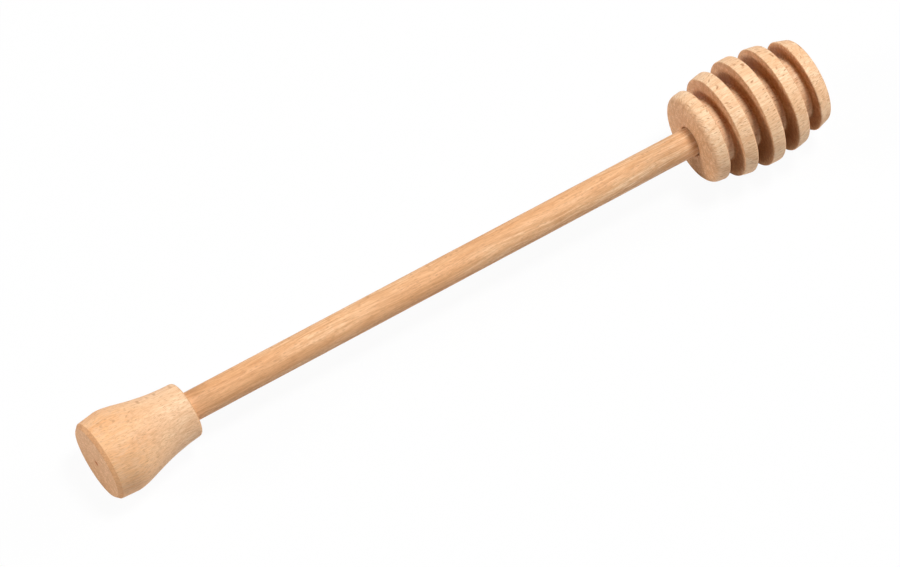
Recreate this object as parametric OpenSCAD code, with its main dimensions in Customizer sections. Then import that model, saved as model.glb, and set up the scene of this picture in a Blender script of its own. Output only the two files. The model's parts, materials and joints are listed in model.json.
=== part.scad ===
// Honey dipper turned from beech: a grooved head and an end knob, both glued on a dowel.
// The dowel lies along X. The origin is where its axis meets the knob's flat end face, and the head is at +X.

/* [Handle rod] */
// Diameter of the rod where it enters the knob
rod_knob_d = 8.1; // [6.5:0.05:9]
// Diameter of the rod where it enters the head
rod_head_d = 7.85; // [6.5:0.05:9]
// Length of rod that shows between the knob and the head
rod_bare_l = 152.4; // [80:0.1:240]
// Chamfer round each end of the rod, inside its hole
rod_chamfer = 0.6; // [0.2:0.1:1.2]

/* [End knob] */
// Length of the knob along its own axis
knob_l = 27.4; // [20:0.1:40]
// Angle by which the knob's own axis leans off the rod's axis
knob_lean = 3.1; // [0:0.1:5]
// Direction of the lean, turned round the rod from -Y towards -Z
knob_lean_turn = 12; // [-90:1:90]
// Diameter of the corner at the knob's end face, before its chamfer
knob_face_d = 21.9; // [18:0.1:24]
// Chamfer round the end face
knob_chamfer = 1.05; // [0.5:0.05:2]
// Rounding of the two edges of the chamfer
knob_edge_round = 0.3; // [0.1:0.05:0.6]
// Widest diameter of the knob
knob_belly_d = 22.9; // [20:0.1:28]
// Distance from the end face to the widest point
knob_belly_x = 5.9; // [4:0.1:9]
// Diameter of the knob's small end, where the rod enters
knob_neck_d = 15.3; // [12.5:0.1:18]
// Rounding of the edge of the small end
knob_neck_round = 0.7; // [0.2:0.1:1.4]
// Wood left between the end face and the bottom of the rod's hole
knob_end_wall = 9; // [5:0.5:14]

/* [Head] */
// Widest diameter of the head, over its crown
head_d = 30.6; // [28:0.1:36]
// Distance from the head's front face to its widest point
crown_x = 18.3; // [14:0.1:22]
// Radius of the barrel curve that the rims follow along the axis
crown_r = 47; // [40:0.5:90]
// Diameter of the core at the bottom of the grooves
core_d = 17.8; // [13:0.1:20]
// Diameter of the front rim at the front face, before its edge is rounded
front_face_d = 25; // [23:0.1:27]
// Diameter of the front rim at its back
front_rim_d = 26; // [23:0.1:28]
// Thickness of the front rim
front_rim_w = 4.5; // [3.5:0.1:6]
// Width of the first groove, behind the front rim
first_groove_w = 3.45; // [2:0.05:5]
// Number of full rims between the front rim and the end rim
rim_count = 3; // [1:1:4]
// Thickness of each full rim
rim_w = 4.1; // [3:0.05:5]
// Width of each groove behind a full rim
groove_w = 4.1; // [2:0.05:6]
// Thickness of the end rim
end_rim_w = 4.15; // [2.5:0.05:5]
// Diameter of the end rim at the end face, before its edge is rounded
end_face_d = 23.6; // [20:0.1:26]
// Wood left between the bottom of the rod's hole and the head's end face
head_end_wall = 14.7; // [5:0.1:20]

/* [Edges and fits] */
// Rounding of the front rim's edge round the front face
front_round = 2.3; // [0.5:0.1:2.8]
// Rounding of a rim's edge that faces the rod
leading_round = 0.35; // [0.1:0.05:0.6]
// Rounding of a rim's edge that faces away from the rod
trailing_round = 0.8; // [0.1:0.05:1.1]
// Rounding of the end rim's edge round the end face
end_round = 0.9; // [0.2:0.1:1.8]
// Rounding of the two corners at the bottom of a groove
groove_round = 0.8; // [0.2:0.1:0.9]
// Radial gap for glue between the rod and the knob's hole
knob_fit = 0.05; // [0.02:0.01:0.2]
// Radial gap for glue between the rod and the head's hole
head_fit = 0.3; // [0.02:0.01:0.4]
// Gap for glue between each end of the rod and the bottom of its hole
end_gap = 0.3; // [0.1:0.1:1]

/* [Hidden] */
$fn = 96;

// Start of each rim, counted from the head's front face
rim_starts = [for (i = [0 : rim_count]) front_rim_w + first_groove_w + i * (rim_w + groove_w)];
head_l = rim_starts[rim_count] + end_rim_w;

// Places along the rod's axis
neck_x = knob_l / cos(knob_lean);
front_x = neck_x + rod_bare_l;
knob_hole_end_x = knob_end_wall;
head_hole_end_x = front_x + head_l - head_end_wall;
rod_start_x = knob_hole_end_x + end_gap;
rod_end_x = head_hole_end_x - end_gap;

// How far a hole's cutter stands out of the face that it opens in
overcut = 1;

// Points in each rounded corner, and in the knob's flank
corner_steps = 6;
flank_steps = 28;

// Share of the flank's length over which the belly and the neck keep their direction
belly_hold = 0.22;
neck_hold = 0.56;
// Slope of the flank at the neck
neck_slope = 0.06;

// Radius of the barrel curve at a distance x behind the front face
function crown(x) = head_d / 2 - crown_r + sqrt(pow(crown_r, 2) - pow(x - crown_x, 2));

// Point at t on the curve with the four control points p
function bezier(p, t) =
    pow(1 - t, 3) * p[0] + 3 * pow(1 - t, 2) * t * p[1] + 3 * (1 - t) * pow(t, 2) * p[2] + pow(t, 3) * p[3];

function unit(v) = v / norm(v);

// Angle turned from a to b, brought between -180 and 180 degrees
function turn(a, b) = let (d = b - a) d > 180 ? d - 360 : d < -180 ? d + 360 : d;

// Arc that touches the two sides of corner p, whose neighbours are a and b
function corner_arc(a, p, b, radius) =
    let (
        to_a = unit(a - p),
        to_b = unit(b - p),
        half = acos(to_a * to_b) / 2,
        centre = p + unit(to_a + to_b) * radius / sin(half),
        from = p + to_a * radius / tan(half) - centre,
        to = p + to_b * radius / tan(half) - centre,
        start = atan2(from[1], from[0]),
        sweep = turn(start, atan2(to[1], to[0]))
    )
    [for (k = [0 : corner_steps])
        let (angle = start + sweep * k / corner_steps)
        centre + radius * [cos(angle), sin(angle)]];

// Outline whose corners [x, y, radius] are rounded where the radius isn't 0
function rounded(corners) =
    let (n = len(corners), at = [for (c = corners) [c[0], c[1]]])
    [for (i = [0 : n - 1])
        each (corners[i][2] > 0
            ? corner_arc(at[(i + n - 1) % n], at[i], at[(i + 1) % n], corners[i][2])
            : [at[i]])];

// Turns an outline of [distance along X, radius] points round the X axis
module turned(outline) {
    rotate([0, 90, 0])
        rotate_extrude()
            polygon([for (p = outline) [p[1], p[0]]]);
}

// One rim of the head: foot, two rounded edges on the barrel curve, foot
function rim(start, width) = [
    [start, core_d / 2, groove_round],
    [start, crown(start), leading_round],
    [start + width / 2, crown(start + width / 2), 0],
    [start + width, crown(start + width), trailing_round],
    [start + width, core_d / 2, groove_round],
];

// Cutter for a hole of diameter d along the rod's axis, from one place on it to another
module rod_hole(from_x, to_x, d) {
    translate([from_x, 0, 0])
        rotate([0, 90, 0])
            cylinder(d = d, h = to_x - from_x);
}

module dipper_head() {
    color("burlywood")
        difference() {
            translate([front_x, 0, 0])
                turned(rounded([
                    [0, 0, 0],
                    [0, front_face_d / 2, front_round],
                    [front_rim_w, front_rim_d / 2, trailing_round],
                    [front_rim_w, core_d / 2, groove_round],
                    for (i = [0 : rim_count - 1]) each rim(rim_starts[i], rim_w),
                    [rim_starts[rim_count], core_d / 2, groove_round],
                    [rim_starts[rim_count], crown(rim_starts[rim_count]), leading_round],
                    [head_l, end_face_d / 2, end_round],
                    [head_l, 0, 0],
                ]));
            rod_hole(front_x - overcut, head_hole_end_x, rod_head_d + 2 * head_fit);
        }
}

module handle_rod() {
    knob_r = rod_knob_d / 2;
    head_r = rod_head_d / 2;
    color("peru")
        turned([
            [rod_start_x, 0],
            [rod_start_x, knob_r - rod_chamfer],
            [rod_start_x + rod_chamfer, knob_r],
            [neck_x, knob_r],
            [front_x, head_r],
            [rod_end_x - rod_chamfer, head_r],
            [rod_end_x, head_r - rod_chamfer],
            [rod_end_x, 0],
        ]);
}

module end_knob() {
    face_r = knob_face_d / 2;
    neck_r = knob_neck_d / 2;
    belly = [knob_belly_x, knob_belly_d / 2];
    neck = [knob_l - knob_neck_round, neck_r];
    flank_l = neck[0] - belly[0];
    controls = [
        belly,
        belly + flank_l * belly_hold * [1, 0],
        neck - flank_l * neck_hold * [1, -neck_slope],
        neck,
    ];
    color("sandybrown")
        difference() {
            // Leans about the middle of the small end
            translate([neck_x, 0, 0])
                rotate([knob_lean_turn, 0, 0])
                    rotate([0, 0, knob_lean])
                        translate([-knob_l, 0, 0])
                            turned(rounded([
                                [0, 0, 0],
                                [0, face_r - knob_chamfer, knob_edge_round],
                                [knob_chamfer, face_r, knob_edge_round],
                                for (k = [0 : flank_steps - 1]) [each bezier(controls, k / flank_steps), 0],
                                [knob_l, neck_r, knob_neck_round],
                                [knob_l, 0, 0],
                            ]));
            rod_hole(knob_hole_end_x, neck_x + overcut, rod_knob_d + 2 * knob_fit);
        }
}

dipper_head();
handle_rod();
end_knob();
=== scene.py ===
import json
import math
from collections import namedtuple

import bmesh
import bpy
import numpy as np
from mathutils import Euler, Matrix, Vector, noise


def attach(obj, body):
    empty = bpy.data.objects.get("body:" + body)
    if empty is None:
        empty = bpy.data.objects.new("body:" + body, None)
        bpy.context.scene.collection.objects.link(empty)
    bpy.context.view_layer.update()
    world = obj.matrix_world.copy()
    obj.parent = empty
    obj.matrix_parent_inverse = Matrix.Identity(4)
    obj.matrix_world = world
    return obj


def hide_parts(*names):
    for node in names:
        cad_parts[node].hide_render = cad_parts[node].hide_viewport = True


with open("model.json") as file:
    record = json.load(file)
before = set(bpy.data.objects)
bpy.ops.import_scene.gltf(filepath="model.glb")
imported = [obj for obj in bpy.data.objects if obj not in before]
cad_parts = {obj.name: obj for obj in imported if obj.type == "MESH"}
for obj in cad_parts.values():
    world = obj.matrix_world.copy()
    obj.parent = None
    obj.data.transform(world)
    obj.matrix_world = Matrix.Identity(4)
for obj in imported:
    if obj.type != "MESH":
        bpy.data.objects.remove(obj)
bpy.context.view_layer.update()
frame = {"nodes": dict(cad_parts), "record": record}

MM = 0.001

# Turned meshes: segments round the axis, and the longest step along each outline
SEGMENTS = 192
HEAD_STEP = 0.35 * MM
ROD_STEP = 0.9 * MM
KNOB_STEP = 0.22 * MM
# Vertices nearer than this belong to one ring of the CAD mesh
RING_GAP = 0.02 * MM
# Vertices of the knob that are nearer to the rod than this belong to its hole
HOLE_GAP = 0.5 * MM
# Rows of the mesh across the knob's small end and down its hole
NECK_ROWS = 10
HOLE_ROWS = 16
# Sanding of the small end's edge: rows that it blends with a row, to each side, and rows that it reaches
NECK_SANDING = 4
SANDED_BEFORE_EDGE = 12
SANDED_AFTER_EDGE = 4

# Unevenness left by turning and sanding: how deep it goes, and the length of its waves
SANDING_DEPTH = 0.03 * MM
SANDING_WAVE = 3.0 * MM
OUT_OF_ROUND = 0.04 * MM
OUT_OF_ROUND_WAVE = 11.0 * MM
# How far apart in the noise two seeds lie, in waves, and the step from the sanding's seed to the other one
SEED_STEP = (1.0, 2.7, -1.0)
OUT_OF_ROUND_SEED = 5

# Mark of the lathe's centre in the knob's end face, and its bruise: where that starts and is full, in mm
MARK_RADIUS = 0.6 * MM
MARK_DEPTH = 0.6 * MM
BRUISE_REACH = (1.2, 0.3)
BRUISE_TINT = (0.76, 0.5, 0.38, 1.0)

# Camera at the photograph's angle: heading from +X towards +Y, angle below the horizon, and roll. Its lens
# and sensor are in Blender's own millimetres, and how far it sees is in metres.
CAMERA_TARGET = Vector((105.73, 0.0, 0.0)) * MM
CAMERA_HEADING = math.radians(58.06)
CAMERA_DOWN = math.radians(58.82)
CAMERA_ROLL = math.radians(0.06)
CAMERA_DISTANCE = 1236.4 * MM
CAMERA_LIFT = -3.72 * MM
CAMERA_LENS = 192
CAMERA_REACH = 50
SENSOR_WIDTH = 36

# Floor under the lying dipper, in metres. Its glow is the share of its white that no lamp changes.
FLOOR_SIZE = 12.0
FLOOR_COLOUR = (0.8, 0.8, 0.8, 1.0)
FLOOR_GLOW = 0.95
FLOOR_GAP = 0.1 * MM

# Soft studio light. A lamp's angles: round the rod's axis from +Z towards +Y, and leaning towards +X.
# Its size is in metres and its power in watts.
WORLD_STRENGTH = 0.01
LAMP_DISTANCE = 3.0
LAMPS = {
    "key": {"round": -3, "lean": 15, "size": 0.8, "power": 76.0},
    "head_side": {"round": -4, "lean": 64, "size": 1.2, "power": 33.0},
    "knob_side": {"round": 26, "lean": -60, "size": 1.0, "power": 48.0},
}

# Noise in the wood: its scale in waves per mm, the values at which it starts to show and shows fully, and
# how strongly it then shows
Pattern = namedtuple("Pattern", "scale detail roughness start full share")
# Broad drift of tone. Its scale is given along the grain and in the two directions across it.
BROAD = Pattern((0.03, 0.2, 0.2), detail=3.0, roughness=0.5, start=0.3, full=0.7, share=1.0)
# Long streaks, flecks a few mm long, fine fibres, and pores as short thin streaks. Their scales are given
# along the grain, round the rings and out from the pith, as are those of the next two and of the rays.
STREAK = Pattern((0.05, 1.5, 1.5), detail=3.0, roughness=0.5, start=0.45, full=0.6, share=0.45)
FLECK = Pattern((0.35, 1.3, 1.3), detail=4.0, roughness=0.6, start=0.42, full=0.62, share=0.65)
FIBRE = Pattern((0.16, 2.6, 2.6), detail=5.0, roughness=0.65, start=0.4, full=0.66, share=0.5)
PORE = Pattern((0.6, 6.5, 6.5), detail=2.0, roughness=0.6, start=0.56, full=0.7, share=0.5)
# Clouds and specks on end grain
CLOUD = Pattern((0.3, 0.5, 1.1), detail=4.0, roughness=0.6, start=0.42, full=0.58, share=0.55)
SPECK = Pattern((1.0, 2.6, 1.2), detail=4.0, roughness=0.7, start=0.42, full=0.6, share=0.75)

# Sway of the grain: waves per mm, and how wide it is in mm. Then the waves per mm of the years' unevenness.
SWAY_SCALE = (0.03, 0.12, 0.12)
SWAY_WIDTH = (0.0, 3.0, 3.0)
YEAR_SCALE = (0.05, 0.3, 0.3)
# How far apart along the grain the pieces are cut from the wood, in mm
PIECE_SHIFT = 37.0

# Growth ring, in shares of a year: where its tone starts to deepen, where its dark line of late wood starts
# and is full, and where that line is gone and still full. Then how strongly they show.
RING_START = 0.2
LATE_START = (0.8, 0.95)
LATE_END = (1.0, 0.97)
RING_SHARE = 0.2
LATE_SHARE = 0.5
LATE_SHARE_ON_END = 0.3

# Rays: cells per mm, the distance from a cell's middle at which a ray ends and is full, and the cell's
# random values at which it starts to show and shows fully
RAY_SCALE = (0.6, 3.6, 0.25)
RAY_EDGE = (0.4, 0.14)
RAY_STRENGTH = (0.1, 0.7)

# How squarely a surface faces along X, from 0 to 1, where each kind starts to count and counts fully. A
# chamfer ends again where the end face begins.
END_GRAIN_FACING = (0.35, 0.95)
WALL_FACING = (0.5, 0.9)
CHAMFER_FACING = (0.45, 0.6)
CHAMFER_END_FACING = (0.96, 0.85)
END_GRAIN_SHARE = 0.85

# Sanded surface: how rough it is, from one value of the fibres' noise to the other
ROUGHNESS = (0.55, 0.72)
ROUGHNESS_FIBRES = (0.2, 0.8)
SPECULAR = 0.3
# How high the fibres stand, and how deep the rays and pores lie, in shares of the bump
FIBRE_HEIGHT = 0.5
RAY_HEIGHT = -0.5
PORE_HEIGHT = -0.8
BUMP_STRENGTH = 0.35
BUMP_DISTANCE = 0.06 * MM

# Half of the length over which a rim's top is looked for
RIM_REACH = 3.0 * MM
# Painted shade on the groove walls, darker deep down, standing in part for the cutter's browning: how far
# below the barrel curve over the rims that starts and is full, in mm
SHADE_AND_SCORCH_START = 1.9
SHADE_AND_SCORCH_FULL = 4.2
# The first groove's walls get the least painted shade: the share that they have, and the places along X,
# in mm, between which it grows to the full
SHADE_AND_SCORCH_LEAST = 0.35
SHADE_AND_SCORCH_GROWS = (187.0, 194.0)
# Side of the head on which the walls get the most painted shade, the lower side towards the camera that the
# lamps leave in shade, and how far out from the axis that starts and is full, in mm
SHADED_SIDE = (0.0, -0.89, -0.456)
SHADED_SIDE_REACH = (2.0, 12.0)


# Reading the CAD solids

def axis_distance(points):
    """Distance of each point from the X axis."""
    return np.hypot(points[:, 1], points[:, 2])


def node_points(node):
    return np.array([v.co for v in frame["nodes"][node].data.vertices])


def lowest_point(node):
    """Place along X and height of a CAD node's lowest points."""
    points = node_points(node)
    low = points[:, 2].min()
    return points[points[:, 2] < low + RING_GAP, 0].mean(), low


def knob_axes():
    """Matrix from the knob's own frame, whose X is its turning axis, to the object's frame."""
    mount = next(m for m in frame["record"]["mounts"] if m["name"] == "knob_end_face")
    turn = Vector((1, 0, 0)).rotation_difference(-Vector(mount["axis"])).to_matrix()
    own = node_points("end_knob") @ np.array(turn)
    middle = Vector((0.0, *(own.min(axis=0) + own.max(axis=0))[1:] / 2))
    return Matrix.Translation(turn @ middle) @ turn.to_4x4()


def placed(rows, axes):
    """Rows of points moved by a matrix."""
    matrix = np.array(axes)
    return [row @ matrix[:3, :3].T + matrix[:3, 3] for row in rows]


def rings_of(points):
    """Rings of a turned mesh as (x, radius) rows, and the ring that each vertex is on."""
    places = np.column_stack([points[:, 0], axis_distance(points)])
    keys, of_key = np.unique(np.round(places / RING_GAP), axis=0, return_inverse=True)
    of_key = of_key.ravel()
    merged = np.arange(len(keys))
    for i in range(len(keys)):
        near = np.abs(keys - keys[i]).max(axis=1) <= 1
        merged[near] = merged[near].min()
    while (merged != merged[merged]).any():
        merged = merged[merged]
    ring_of = np.unique(merged[of_key], return_inverse=True)[1]
    rings = np.array([places[ring_of == i].mean(axis=0) for i in range(ring_of.max() + 1)])
    return rings, ring_of


def outline_of(node, axes=None, skip=()):
    """Outline of a turned CAD node as (x, radius) rows in order along it, from its first flat disc."""
    mesh = frame["nodes"][node].data
    points = node_points(node)
    if axes is not None:
        points = placed([points], axes.inverted())[0]
    rings, ring_of = rings_of(points)
    left_out = {int(ring_of[v]) for v in skip}
    neighbours = {i: set() for i in range(len(rings))}
    for edge in mesh.edges:
        a, b = (int(ring_of[v]) for v in edge.vertices)
        if a != b and not {a, b} & left_out:
            neighbours[a].add(b)
            neighbours[b].add(a)
    # The flat discs that close the outline at the axis have faces with all corners on one ring
    faces = [{int(ring_of[v]) for v in p.vertices} for p in mesh.polygons]
    ends = set().union(*(met for met in faces if len(met) == 1))
    path = [min(ends - left_out, key=lambda i: rings[i][0])]
    while True:
        onward = neighbours[path[-1]] - set(path)
        if not onward:
            break
        path.append(min(onward, key=lambda i: np.linalg.norm(rings[i] - rings[path[-1]])))
    return np.vstack([[rings[path[0]][0], 0.0], rings[path]])


# Building the turned meshes

def fine(outline, step):
    """The outline with extra points, so that no two neighbours are further apart than step."""
    rows = [outline[0]]
    for a, b in zip(outline[:-1], outline[1:]):
        count = max(1, math.ceil(np.linalg.norm(b - a) / step))
        rows.extend(a + (b - a) * k / count for k in range(1, count + 1))
    return np.array(rows)


def circles(outline):
    """One circle of points round the X axis for each outline point, or a single point on the axis."""
    angles = np.arange(SEGMENTS) * 2 * math.pi / SEGMENTS
    across = np.column_stack([np.zeros(SEGMENTS), np.cos(angles), np.sin(angles)])
    rows = []
    for x, radius in outline:
        middle = np.array([[x, 0.0, 0.0]])
        rows.append(middle if radius < RING_GAP else middle + radius * across)
    return rows


def closed(outline):
    """The outline with its last point joined to the axis."""
    return np.vstack([outline, [outline[-1][0], 0.0]])


def waves(place, size, seed):
    """Smooth noise from 0 to 1 at a place."""
    return 0.5 + 0.5 * noise.noise(place / size + Vector([seed * step for step in SEED_STEP]))


def skinned(name, rows, seed, dent=None):
    """Joins rows of points into a closed mesh with the slight unevenness of sanded wood.

    dent gives a further move for a point.
    """
    mesh = bmesh.new()
    corners = [[mesh.verts.new(p) for p in row] for row in rows]
    for low, high in zip(corners[:-1], corners[1:]):
        for k in range(SEGMENTS):
            n = (k + 1) % SEGMENTS
            around = (low[k % len(low)], low[n % len(low)], high[n % len(high)], high[k % len(high)])
            mesh.faces.new(list(dict.fromkeys(around)))
    bmesh.ops.recalc_face_normals(mesh, faces=mesh.faces)
    mesh.normal_update()
    moves = {}
    for v in mesh.verts:
        depth = SANDING_DEPTH * waves(v.co, SANDING_WAVE, seed)
        depth += OUT_OF_ROUND * waves(v.co, OUT_OF_ROUND_WAVE, seed + OUT_OF_ROUND_SEED)
        moves[v] = -v.normal * depth
        if dent:
            moves[v] += dent(v.co)
    for v, move in moves.items():
        v.co += move
    data = bpy.data.meshes.new(name)
    mesh.to_mesh(data)
    mesh.free()
    data.polygons.foreach_set("use_smooth", [True] * len(data.polygons))
    piece = bpy.data.objects.new(name, data)
    bpy.context.scene.collection.objects.link(piece)
    return piece


def between(first, last, count):
    """Rows of points that lead from just after the first row to the last one."""
    return [first + (last - first) * k / count for k in range(1, count + 1)]


def sanded(rows):
    """The rows without the outer ones, each blended with its neighbours so that an edge gets rounder."""
    reach = NECK_SANDING
    return [np.mean(rows[i - reach:i + reach + 1], axis=0) for i in range(reach, len(rows) - reach)]


def knob_rows(axes):
    """Rows of the leaning knob: its turned outside, and the hole that runs along the rod's axis."""
    points = node_points("end_knob")
    rod_radius = axis_distance(node_points("handle_rod")).max()
    in_hole = np.nonzero(axis_distance(points) < rod_radius + HOLE_GAP)[0]
    outside = placed(circles(fine(outline_of("end_knob", axes, in_hole), KNOB_STEP)), axes)
    small_end = outside[-1]
    radius = axis_distance(points[in_hole]).max()
    bottom = points[in_hole, 0].min()
    # The hole's mouth lies in the plane of the small end
    lean = np.array(axes.col[0][:3])
    mouth = circles([(0.0, radius)])[0]
    mouth[:, 0] = (small_end.mean(axis=0) @ lean - mouth[:, 1:] @ lean[1:]) / lean[0]
    floor = circles([(bottom, radius)])[0]
    middle = circles([(bottom, 0.0)])
    skin = [*outside, *between(small_end, mouth, NECK_ROWS)]
    first, end = len(outside) - SANDED_BEFORE_EDGE, len(outside) + SANDED_AFTER_EDGE
    skin[first:end] = sanded(skin[first - NECK_SANDING:end + NECK_SANDING])
    return [*skin, *between(mouth, floor, HOLE_ROWS), *middle]


# The wood

class Nodes:
    """Adds nodes to a material. An input is a number, a tuple or another node's output."""

    def __init__(self, tree):
        self.tree = tree

    def add(self, kind, inputs=None, **settings):
        made = self.tree.nodes.new(kind)
        for name, value in settings.items():
            setattr(made, name, value)
        for name, value in (inputs or {}).items():
            socket = made.inputs[name]
            if isinstance(value, bpy.types.NodeSocket):
                self.tree.links.new(value, socket)
            else:
                socket.default_value = value
        return made

    def maths(self, operation, *values):
        return self.add("ShaderNodeMath", dict(enumerate(values)), operation=operation).outputs[0]

    def vector(self, operation, inputs, output="Vector"):
        return self.add("ShaderNodeVectorMath", inputs, operation=operation).outputs[output]

    def parts(self, place):
        return self.add("ShaderNodeSeparateXYZ", {0: place}).outputs

    def scaled(self, place, scale):
        return self.vector("MULTIPLY", {0: place, 1: scale})

    def noise(self, place, scale, detail=3.0, roughness=0.5, output="Fac"):
        inputs = {"Vector": self.scaled(place, scale), "Scale": 1.0, "Detail": detail, "Roughness": roughness}
        return self.add("ShaderNodeTexNoise", inputs).outputs[output]

    def pattern(self, place, pattern):
        """The noise of a Pattern at a place."""
        return self.noise(place, pattern.scale, pattern.detail, pattern.roughness)

    def shown(self, value, pattern, strength=1.0):
        """How strongly a Pattern's noise shows."""
        return self.ramp(value, pattern.start, pattern.full, 0.0, pattern.share * strength)

    def ramp(self, value, low, high, start=0.0, end=1.0):
        inputs = {"Value": value, "From Min": low, "From Max": high, "To Min": start, "To Max": end}
        return self.add("ShaderNodeMapRange", inputs, interpolation_type="SMOOTHSTEP").outputs["Result"]

    def mix(self, factor, a, b, blend="MIX"):
        made = self.add("ShaderNodeMix", data_type="RGBA", blend_type=blend)
        for index, value in ((0, factor), (6, a), (7, b)):
            if isinstance(value, bpy.types.NodeSocket):
                self.tree.links.new(value, made.inputs[index])
            else:
                made.inputs[index].default_value = value
        return made.outputs[2]


def colour(red, green, blue):
    return (red, green, blue, 1.0)


def beech(
    name, pale, deep, line, ray, end, pith, slope, seed, ring_width,
    figure=1.0, dashes=0.55, drift=None, edge=None, mark=None, shade_and_scorch=None,
):
    """Solid beech wood. Growth rings lie round the pith, and rays run out from it.

    pale and deep are the wood's tones, line that of late wood, streaks and fibres, ray that of rays and
    pores, and end that of end grain. pith is how far the axis lies from the pith along Y and Z, in mm,
    slope the grain's tilt to the axis in degrees, and ring_width a year's growth in mm. figure is how
    strongly rings and streaks show, and dashes how strongly rays do. drift is a tint along X, with the
    places in mm where that starts and is full; on the rod it is painted light. edge tints a chamfer, and
    mark is the place of the lathe's centre in mm, where the wood is bruised. The last argument holds two
    tints of painted shade on groove walls: the one deep down, which stands in part for the cutter's
    browning, and the one on the lower side towards the camera, which the lamps leave in shade.
    """
    material = bpy.data.materials.new(name)
    material.use_nodes = True
    tree = material.node_tree
    tree.nodes.clear()
    n = Nodes(tree)

    # Place in mm, turned with the grain, measured from the pith and swayed
    here = n.add("ShaderNodeTexCoord").outputs["Object"]
    here = n.vector("SCALE", {0: here, "Scale": 1 / MM})
    along = n.parts(here)[0]
    turn = tuple(math.radians(a) for a in (0, *slope))
    inputs = {"Vector": here, "Location": (seed * PIECE_SHIFT, *pith), "Rotation": turn}
    place = n.add("ShaderNodeMapping", inputs).outputs[0]
    sway = n.vector("SUBTRACT", {0: n.noise(place, SWAY_SCALE, output="Color"), 1: (0.5, 0.5, 0.5)})
    place = n.vector("ADD", {0: place, 1: n.scaled(sway, SWAY_WIDTH)})

    # The same place along the grain, round the ring, and out from the pith
    x, y, z = n.parts(place)
    reach = n.maths("SQRT", n.maths("ADD", n.maths("POWER", y, 2.0), n.maths("POWER", z, 2.0)))
    around = n.maths("MULTIPLY", n.maths("ARCTAN2", z, y), math.hypot(*pith))
    wood = n.add("ShaderNodeCombineXYZ", {0: x, 1: around, 2: reach}).outputs[0]

    # Growth rings: a slow change through the year, then a thin darker line
    year = n.maths("ADD", n.maths("DIVIDE", reach, ring_width), n.noise(place, YEAR_SCALE))
    year = n.maths("FRACT", year)
    ring = n.ramp(year, RING_START, 1.0)
    late = n.maths("MULTIPLY", n.ramp(year, *LATE_START), n.ramp(year, *LATE_END))

    # Rays: thin upright sheets that show as short dashes on most faces
    cells = n.add("ShaderNodeTexVoronoi", {"Vector": n.scaled(wood, RAY_SCALE), "Scale": 1.0}, feature="F1")
    strength = n.add("ShaderNodeSeparateColor", {0: cells.outputs["Color"]}).outputs[0]
    dash = n.ramp(cells.outputs["Distance"], *RAY_EDGE)
    dash = n.maths("MULTIPLY", dash, n.ramp(strength, *RAY_STRENGTH))

    # End grain shows where the surface faces along the grain, with the rings as fine arcs
    facing = n.maths("ABSOLUTE", n.parts(n.add("ShaderNodeNewGeometry").outputs["Normal"])[0])
    across = n.mix(n.shown(n.pattern(wood, CLOUD), CLOUD), end, deep)
    across = n.mix(n.maths("MULTIPLY", late, LATE_SHARE_ON_END), across, ray)
    across = n.mix(n.shown(n.pattern(wood, SPECK), SPECK), across, ray)

    # The wood's colour, from the broadest pattern to the finest
    fibre = n.pattern(wood, FIBRE)
    pores = n.shown(n.pattern(wood, PORE), PORE)
    base = n.mix(n.shown(n.pattern(place, BROAD), BROAD), pale, deep)
    # A tint along X; on the rod it is painted light
    if drift:
        tint, start, stop = drift
        base = n.mix(n.ramp(along, start, stop), base, tint, "MULTIPLY")
    layers = (
        (n.maths("MULTIPLY", ring, RING_SHARE), deep),
        (n.maths("MULTIPLY", late, LATE_SHARE * figure), line),
        (n.shown(n.pattern(wood, STREAK), STREAK, figure), line),
        (n.shown(n.pattern(wood, FLECK), FLECK), deep),
        (n.shown(fibre, FIBRE), line),
        (pores, ray),
        (n.maths("MULTIPLY", dash, dashes), ray),
        (n.maths("MULTIPLY", n.ramp(facing, *END_GRAIN_FACING), END_GRAIN_SHARE), across),
    )
    for share, tone in layers:
        base = n.mix(share, base, tone)

    # Tints of a chamfer and of the lathe's mark
    if edge:
        chamfer = n.maths("MULTIPLY", n.ramp(facing, *CHAMFER_FACING), n.ramp(facing, *CHAMFER_END_FACING))
        base = n.mix(chamfer, base, edge, "MULTIPLY")
    if mark:
        near = n.ramp(n.vector("DISTANCE", {0: here, 1: mark}, "Value"), *BRUISE_REACH)
        base = n.mix(near, base, BRUISE_TINT, "MULTIPLY")

    # Painted shade on the groove walls, deeper down by the depth that the mesh carries, in part the cutter's
    # browning
    if shade_and_scorch:
        dark, darkest = shade_and_scorch
        depth = n.add("ShaderNodeAttribute", attribute_name="groove_depth").outputs["Fac"]
        wall = n.ramp(facing, *WALL_FACING)
        deep_shade = n.ramp(along, *SHADE_AND_SCORCH_GROWS, SHADE_AND_SCORCH_LEAST, 1.0)
        deep_shade = n.maths("MULTIPLY", deep_shade, n.ramp(depth, SHADE_AND_SCORCH_START, SHADE_AND_SCORCH_FULL))
        base = n.mix(n.maths("MULTIPLY", wall, deep_shade), base, dark, "MULTIPLY")
        # Painted shade on the walls of the lower side, towards the camera, which the lamps leave in shade
        side = n.ramp(n.vector("DOT_PRODUCT", {0: here, 1: SHADED_SIDE}, "Value"), *SHADED_SIDE_REACH)
        side = n.maths("MULTIPLY", side, n.ramp(depth, 0.0, SHADE_AND_SCORCH_START))
        base = n.mix(n.maths("MULTIPLY", wall, side), base, darkest, "MULTIPLY")

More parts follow.
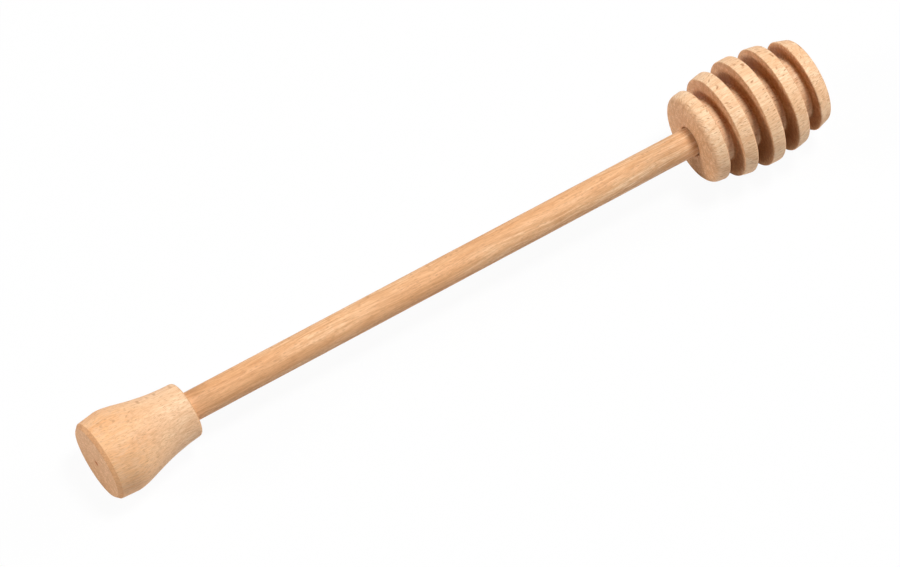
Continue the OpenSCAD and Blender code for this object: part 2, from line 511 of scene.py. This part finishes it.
    # Sanded surface
    rough = n.ramp(fibre, *ROUGHNESS_FIBRES, *ROUGHNESS)
    height = n.maths("ADD", n.maths("MULTIPLY", fibre, FIBRE_HEIGHT), n.maths("MULTIPLY", dash, RAY_HEIGHT))
    height = n.maths("ADD", height, n.maths("MULTIPLY", pores, PORE_HEIGHT))
    inputs = {"Height": height, "Strength": BUMP_STRENGTH, "Distance": BUMP_DISTANCE}
    bump = n.add("ShaderNodeBump", inputs).outputs[0]
    shader = n.add("ShaderNodeBsdfPrincipled", {"Base Color": base, "Roughness": rough, "Normal": bump})
    shader.inputs["Specular IOR Level"].default_value = SPECULAR
    output = n.add("ShaderNodeOutputMaterial")
    tree.links.new(shader.outputs[0], output.inputs["Surface"])
    return material


# The pieces

def dressed(piece, node, material):
    piece.data.materials.append(material)
    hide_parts(node)
    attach(piece, "root")


def mark_groove_depth(head, outline):
    """Gives each vertex its depth in mm below the barrel curve over the rims. It is 0 on both end faces."""

    def is_top(p):
        return not any(q[1] > p[1] and abs(q[0] - p[0]) < RIM_REACH for q in outline)

    tops = np.array(sorted(tuple(p) for p in outline if is_top(p)))
    points = np.array([v.co for v in head.data.vertices])
    depth = (np.interp(points[:, 0], tops[:, 0], tops[:, 1]) - axis_distance(points)) / MM
    between_ends = (points[:, 0] > tops[0, 0]) & (points[:, 0] < tops[-1, 0])
    layer = head.data.attributes.new("groove_depth", "FLOAT", "POINT")
    layer.data.foreach_set("value", np.where(between_ends, np.maximum(depth, 0.0), 0.0))


def make_head():
    wood = beech(
        "head_beech", seed=1, pith=(70.0, -22.0), slope=(1.0, -0.6), ring_width=2.6, dashes=0.9,
        pale=colour(1.0, 0.75, 0.50), deep=colour(0.93, 0.60, 0.355), line=colour(0.73, 0.39, 0.19),
        ray=colour(0.48, 0.22, 0.10), end=colour(0.63, 0.305, 0.13),
        # The groove walls' two tints are painted shade, the first also standing in part for the cutter's
        # browning
        shade_and_scorch=(colour(0.78, 0.73, 0.60), colour(0.63, 0.51, 0.38)),
    )
    outline = outline_of("dipper_head")
    head = skinned("head", circles(closed(fine(outline, HEAD_STEP))), seed=1)
    mark_groove_depth(head, outline)
    dressed(head, "dipper_head", wood)


def make_rod():
    wood = beech(
        "rod_beech", seed=2, pith=(-60.0, 45.0), slope=(0.4, 0.5), ring_width=2.0,
        pale=colour(0.95, 0.62, 0.365), deep=colour(0.82, 0.45, 0.225), line=colour(0.58, 0.265, 0.10),
        ray=colour(0.52, 0.26, 0.12), end=colour(0.72, 0.42, 0.22),
        # Paler towards the head: painted light standing for a highlight near the head
        drift=(colour(1.06, 1.16, 1.26), 146.0, 170.0),
    )
    rows = circles(closed(fine(outline_of("handle_rod"), ROD_STEP)))
    dressed(skinned("rod", rows, seed=2), "handle_rod", wood)


def make_knob():
    axes = knob_axes()
    rows = knob_rows(axes)
    mark = Vector(rows[0][0])
    wood = beech(
        "knob_beech", seed=3, pith=(59.0, -52.0), slope=(-1.5, 2.0), ring_width=2.2, figure=0.5,
        pale=colour(0.99, 0.715, 0.465), deep=colour(0.89, 0.56, 0.33), line=colour(0.69, 0.37, 0.185),
        ray=colour(0.50, 0.24, 0.11), end=colour(0.63, 0.345, 0.175),
        drift=(colour(0.97, 0.78, 0.60), 24.0, 5.0), edge=colour(0.92, 0.84, 0.74), mark=tuple(mark / MM),
    )

    def dent(place):
        reach = (place - mark).length / MARK_RADIUS
        return Vector((MARK_DEPTH * (1 - reach), 0, 0)) if reach < 1 else Vector((0, 0, 0))

    dressed(skinned("knob", rows, seed=3, dent=dent), "end_knob", wood)


# Floor, camera and light

def make_floor():
    """A white floor that touches the knob and the head at their lowest points, and shows a faint shadow."""
    knob_x, knob_z = lowest_point("end_knob")
    head_x, head_z = lowest_point("dipper_head")
    tilt = math.atan2(knob_z - head_z, head_x - knob_x)
    mesh = bpy.data.meshes.new("floor")
    half = FLOOR_SIZE / 2
    corners = [(-half, -half, 0), (half, -half, 0), (half, half, 0), (-half, half, 0)]
    mesh.from_pydata(corners, [], [(0, 1, 2, 3)])
    floor = bpy.data.objects.new("floor", mesh)
    floor.rotation_euler = (0, tilt, 0)
    floor.location = Vector((knob_x, 0, knob_z - FLOOR_GAP))
    bpy.context.scene.collection.objects.link(floor)

    material = bpy.data.materials.new("floor_white")
    material.use_nodes = True
    tree = material.node_tree
    tree.nodes.clear()
    n = Nodes(tree)
    diffuse = n.add("ShaderNodeBsdfDiffuse", {"Color": FLOOR_COLOUR}).outputs[0]
    glow = n.add("ShaderNodeEmission", {"Color": (1, 1, 1, 1), "Strength": 1.0}).outputs[0]
    seen = n.maths("MULTIPLY", n.add("ShaderNodeLightPath").outputs["Is Camera Ray"], FLOOR_GLOW)
    blend = n.add("ShaderNodeMixShader", {0: seen, 1: diffuse, 2: glow}).outputs[0]
    output = n.add("ShaderNodeOutputMaterial")
    tree.links.new(blend, output.inputs["Surface"])
    mesh.materials.append(material)


def view_axes():
    """Directions of the camera's view and of the picture's top."""
    flat = math.cos(CAMERA_DOWN)
    view = Vector((flat * math.cos(CAMERA_HEADING), flat * math.sin(CAMERA_HEADING), -math.sin(CAMERA_DOWN)))
    right = view.cross(Vector((0, 0, 1))).normalized()
    return view, right.cross(view)


def make_camera():
    view, up = view_axes()
    data = bpy.data.cameras.new("camera")
    data.lens = CAMERA_LENS
    data.sensor_width = SENSOR_WIDTH
    data.clip_end = CAMERA_REACH
    camera = bpy.data.objects.new("camera", data)
    camera.location = CAMERA_TARGET - view * CAMERA_DISTANCE + up * CAMERA_LIFT
    straight = Euler((math.pi / 2 - CAMERA_DOWN, 0, CAMERA_HEADING - math.pi / 2)).to_matrix()
    camera.rotation_euler = (straight @ Matrix.Rotation(CAMERA_ROLL, 3, "Z")).to_euler()
    bpy.context.scene.collection.objects.link(camera)
    bpy.context.scene.camera = camera


def make_lights():
    for name, lamp in LAMPS.items():
        turn, lean = math.radians(lamp["round"]), math.radians(lamp["lean"])
        towards = Vector((math.sin(lean), math.cos(lean) * math.sin(turn), math.cos(lean) * math.cos(turn)))
        data = bpy.data.lights.new(name, "AREA")
        data.shape = "DISK"
        data.size = lamp["size"]
        data.energy = lamp["power"]
        light = bpy.data.objects.new(name, data)
        light.location = CAMERA_TARGET + towards * LAMP_DISTANCE
        light.rotation_euler = towards.to_track_quat("Z", "Y").to_euler()
        bpy.context.scene.collection.objects.link(light)

    world = bpy.data.worlds.new("studio")
    world.use_nodes = True
    background = world.node_tree.nodes["Background"]
    background.inputs["Color"].default_value = (1, 1, 1, 1)
    background.inputs["Strength"].default_value = WORLD_STRENGTH
    bpy.context.scene.world = world


make_camera()
make_head()
make_rod()
make_knob()
make_floor()
make_lights()
bpy.context.scene.view_settings.view_transform = "Standard"
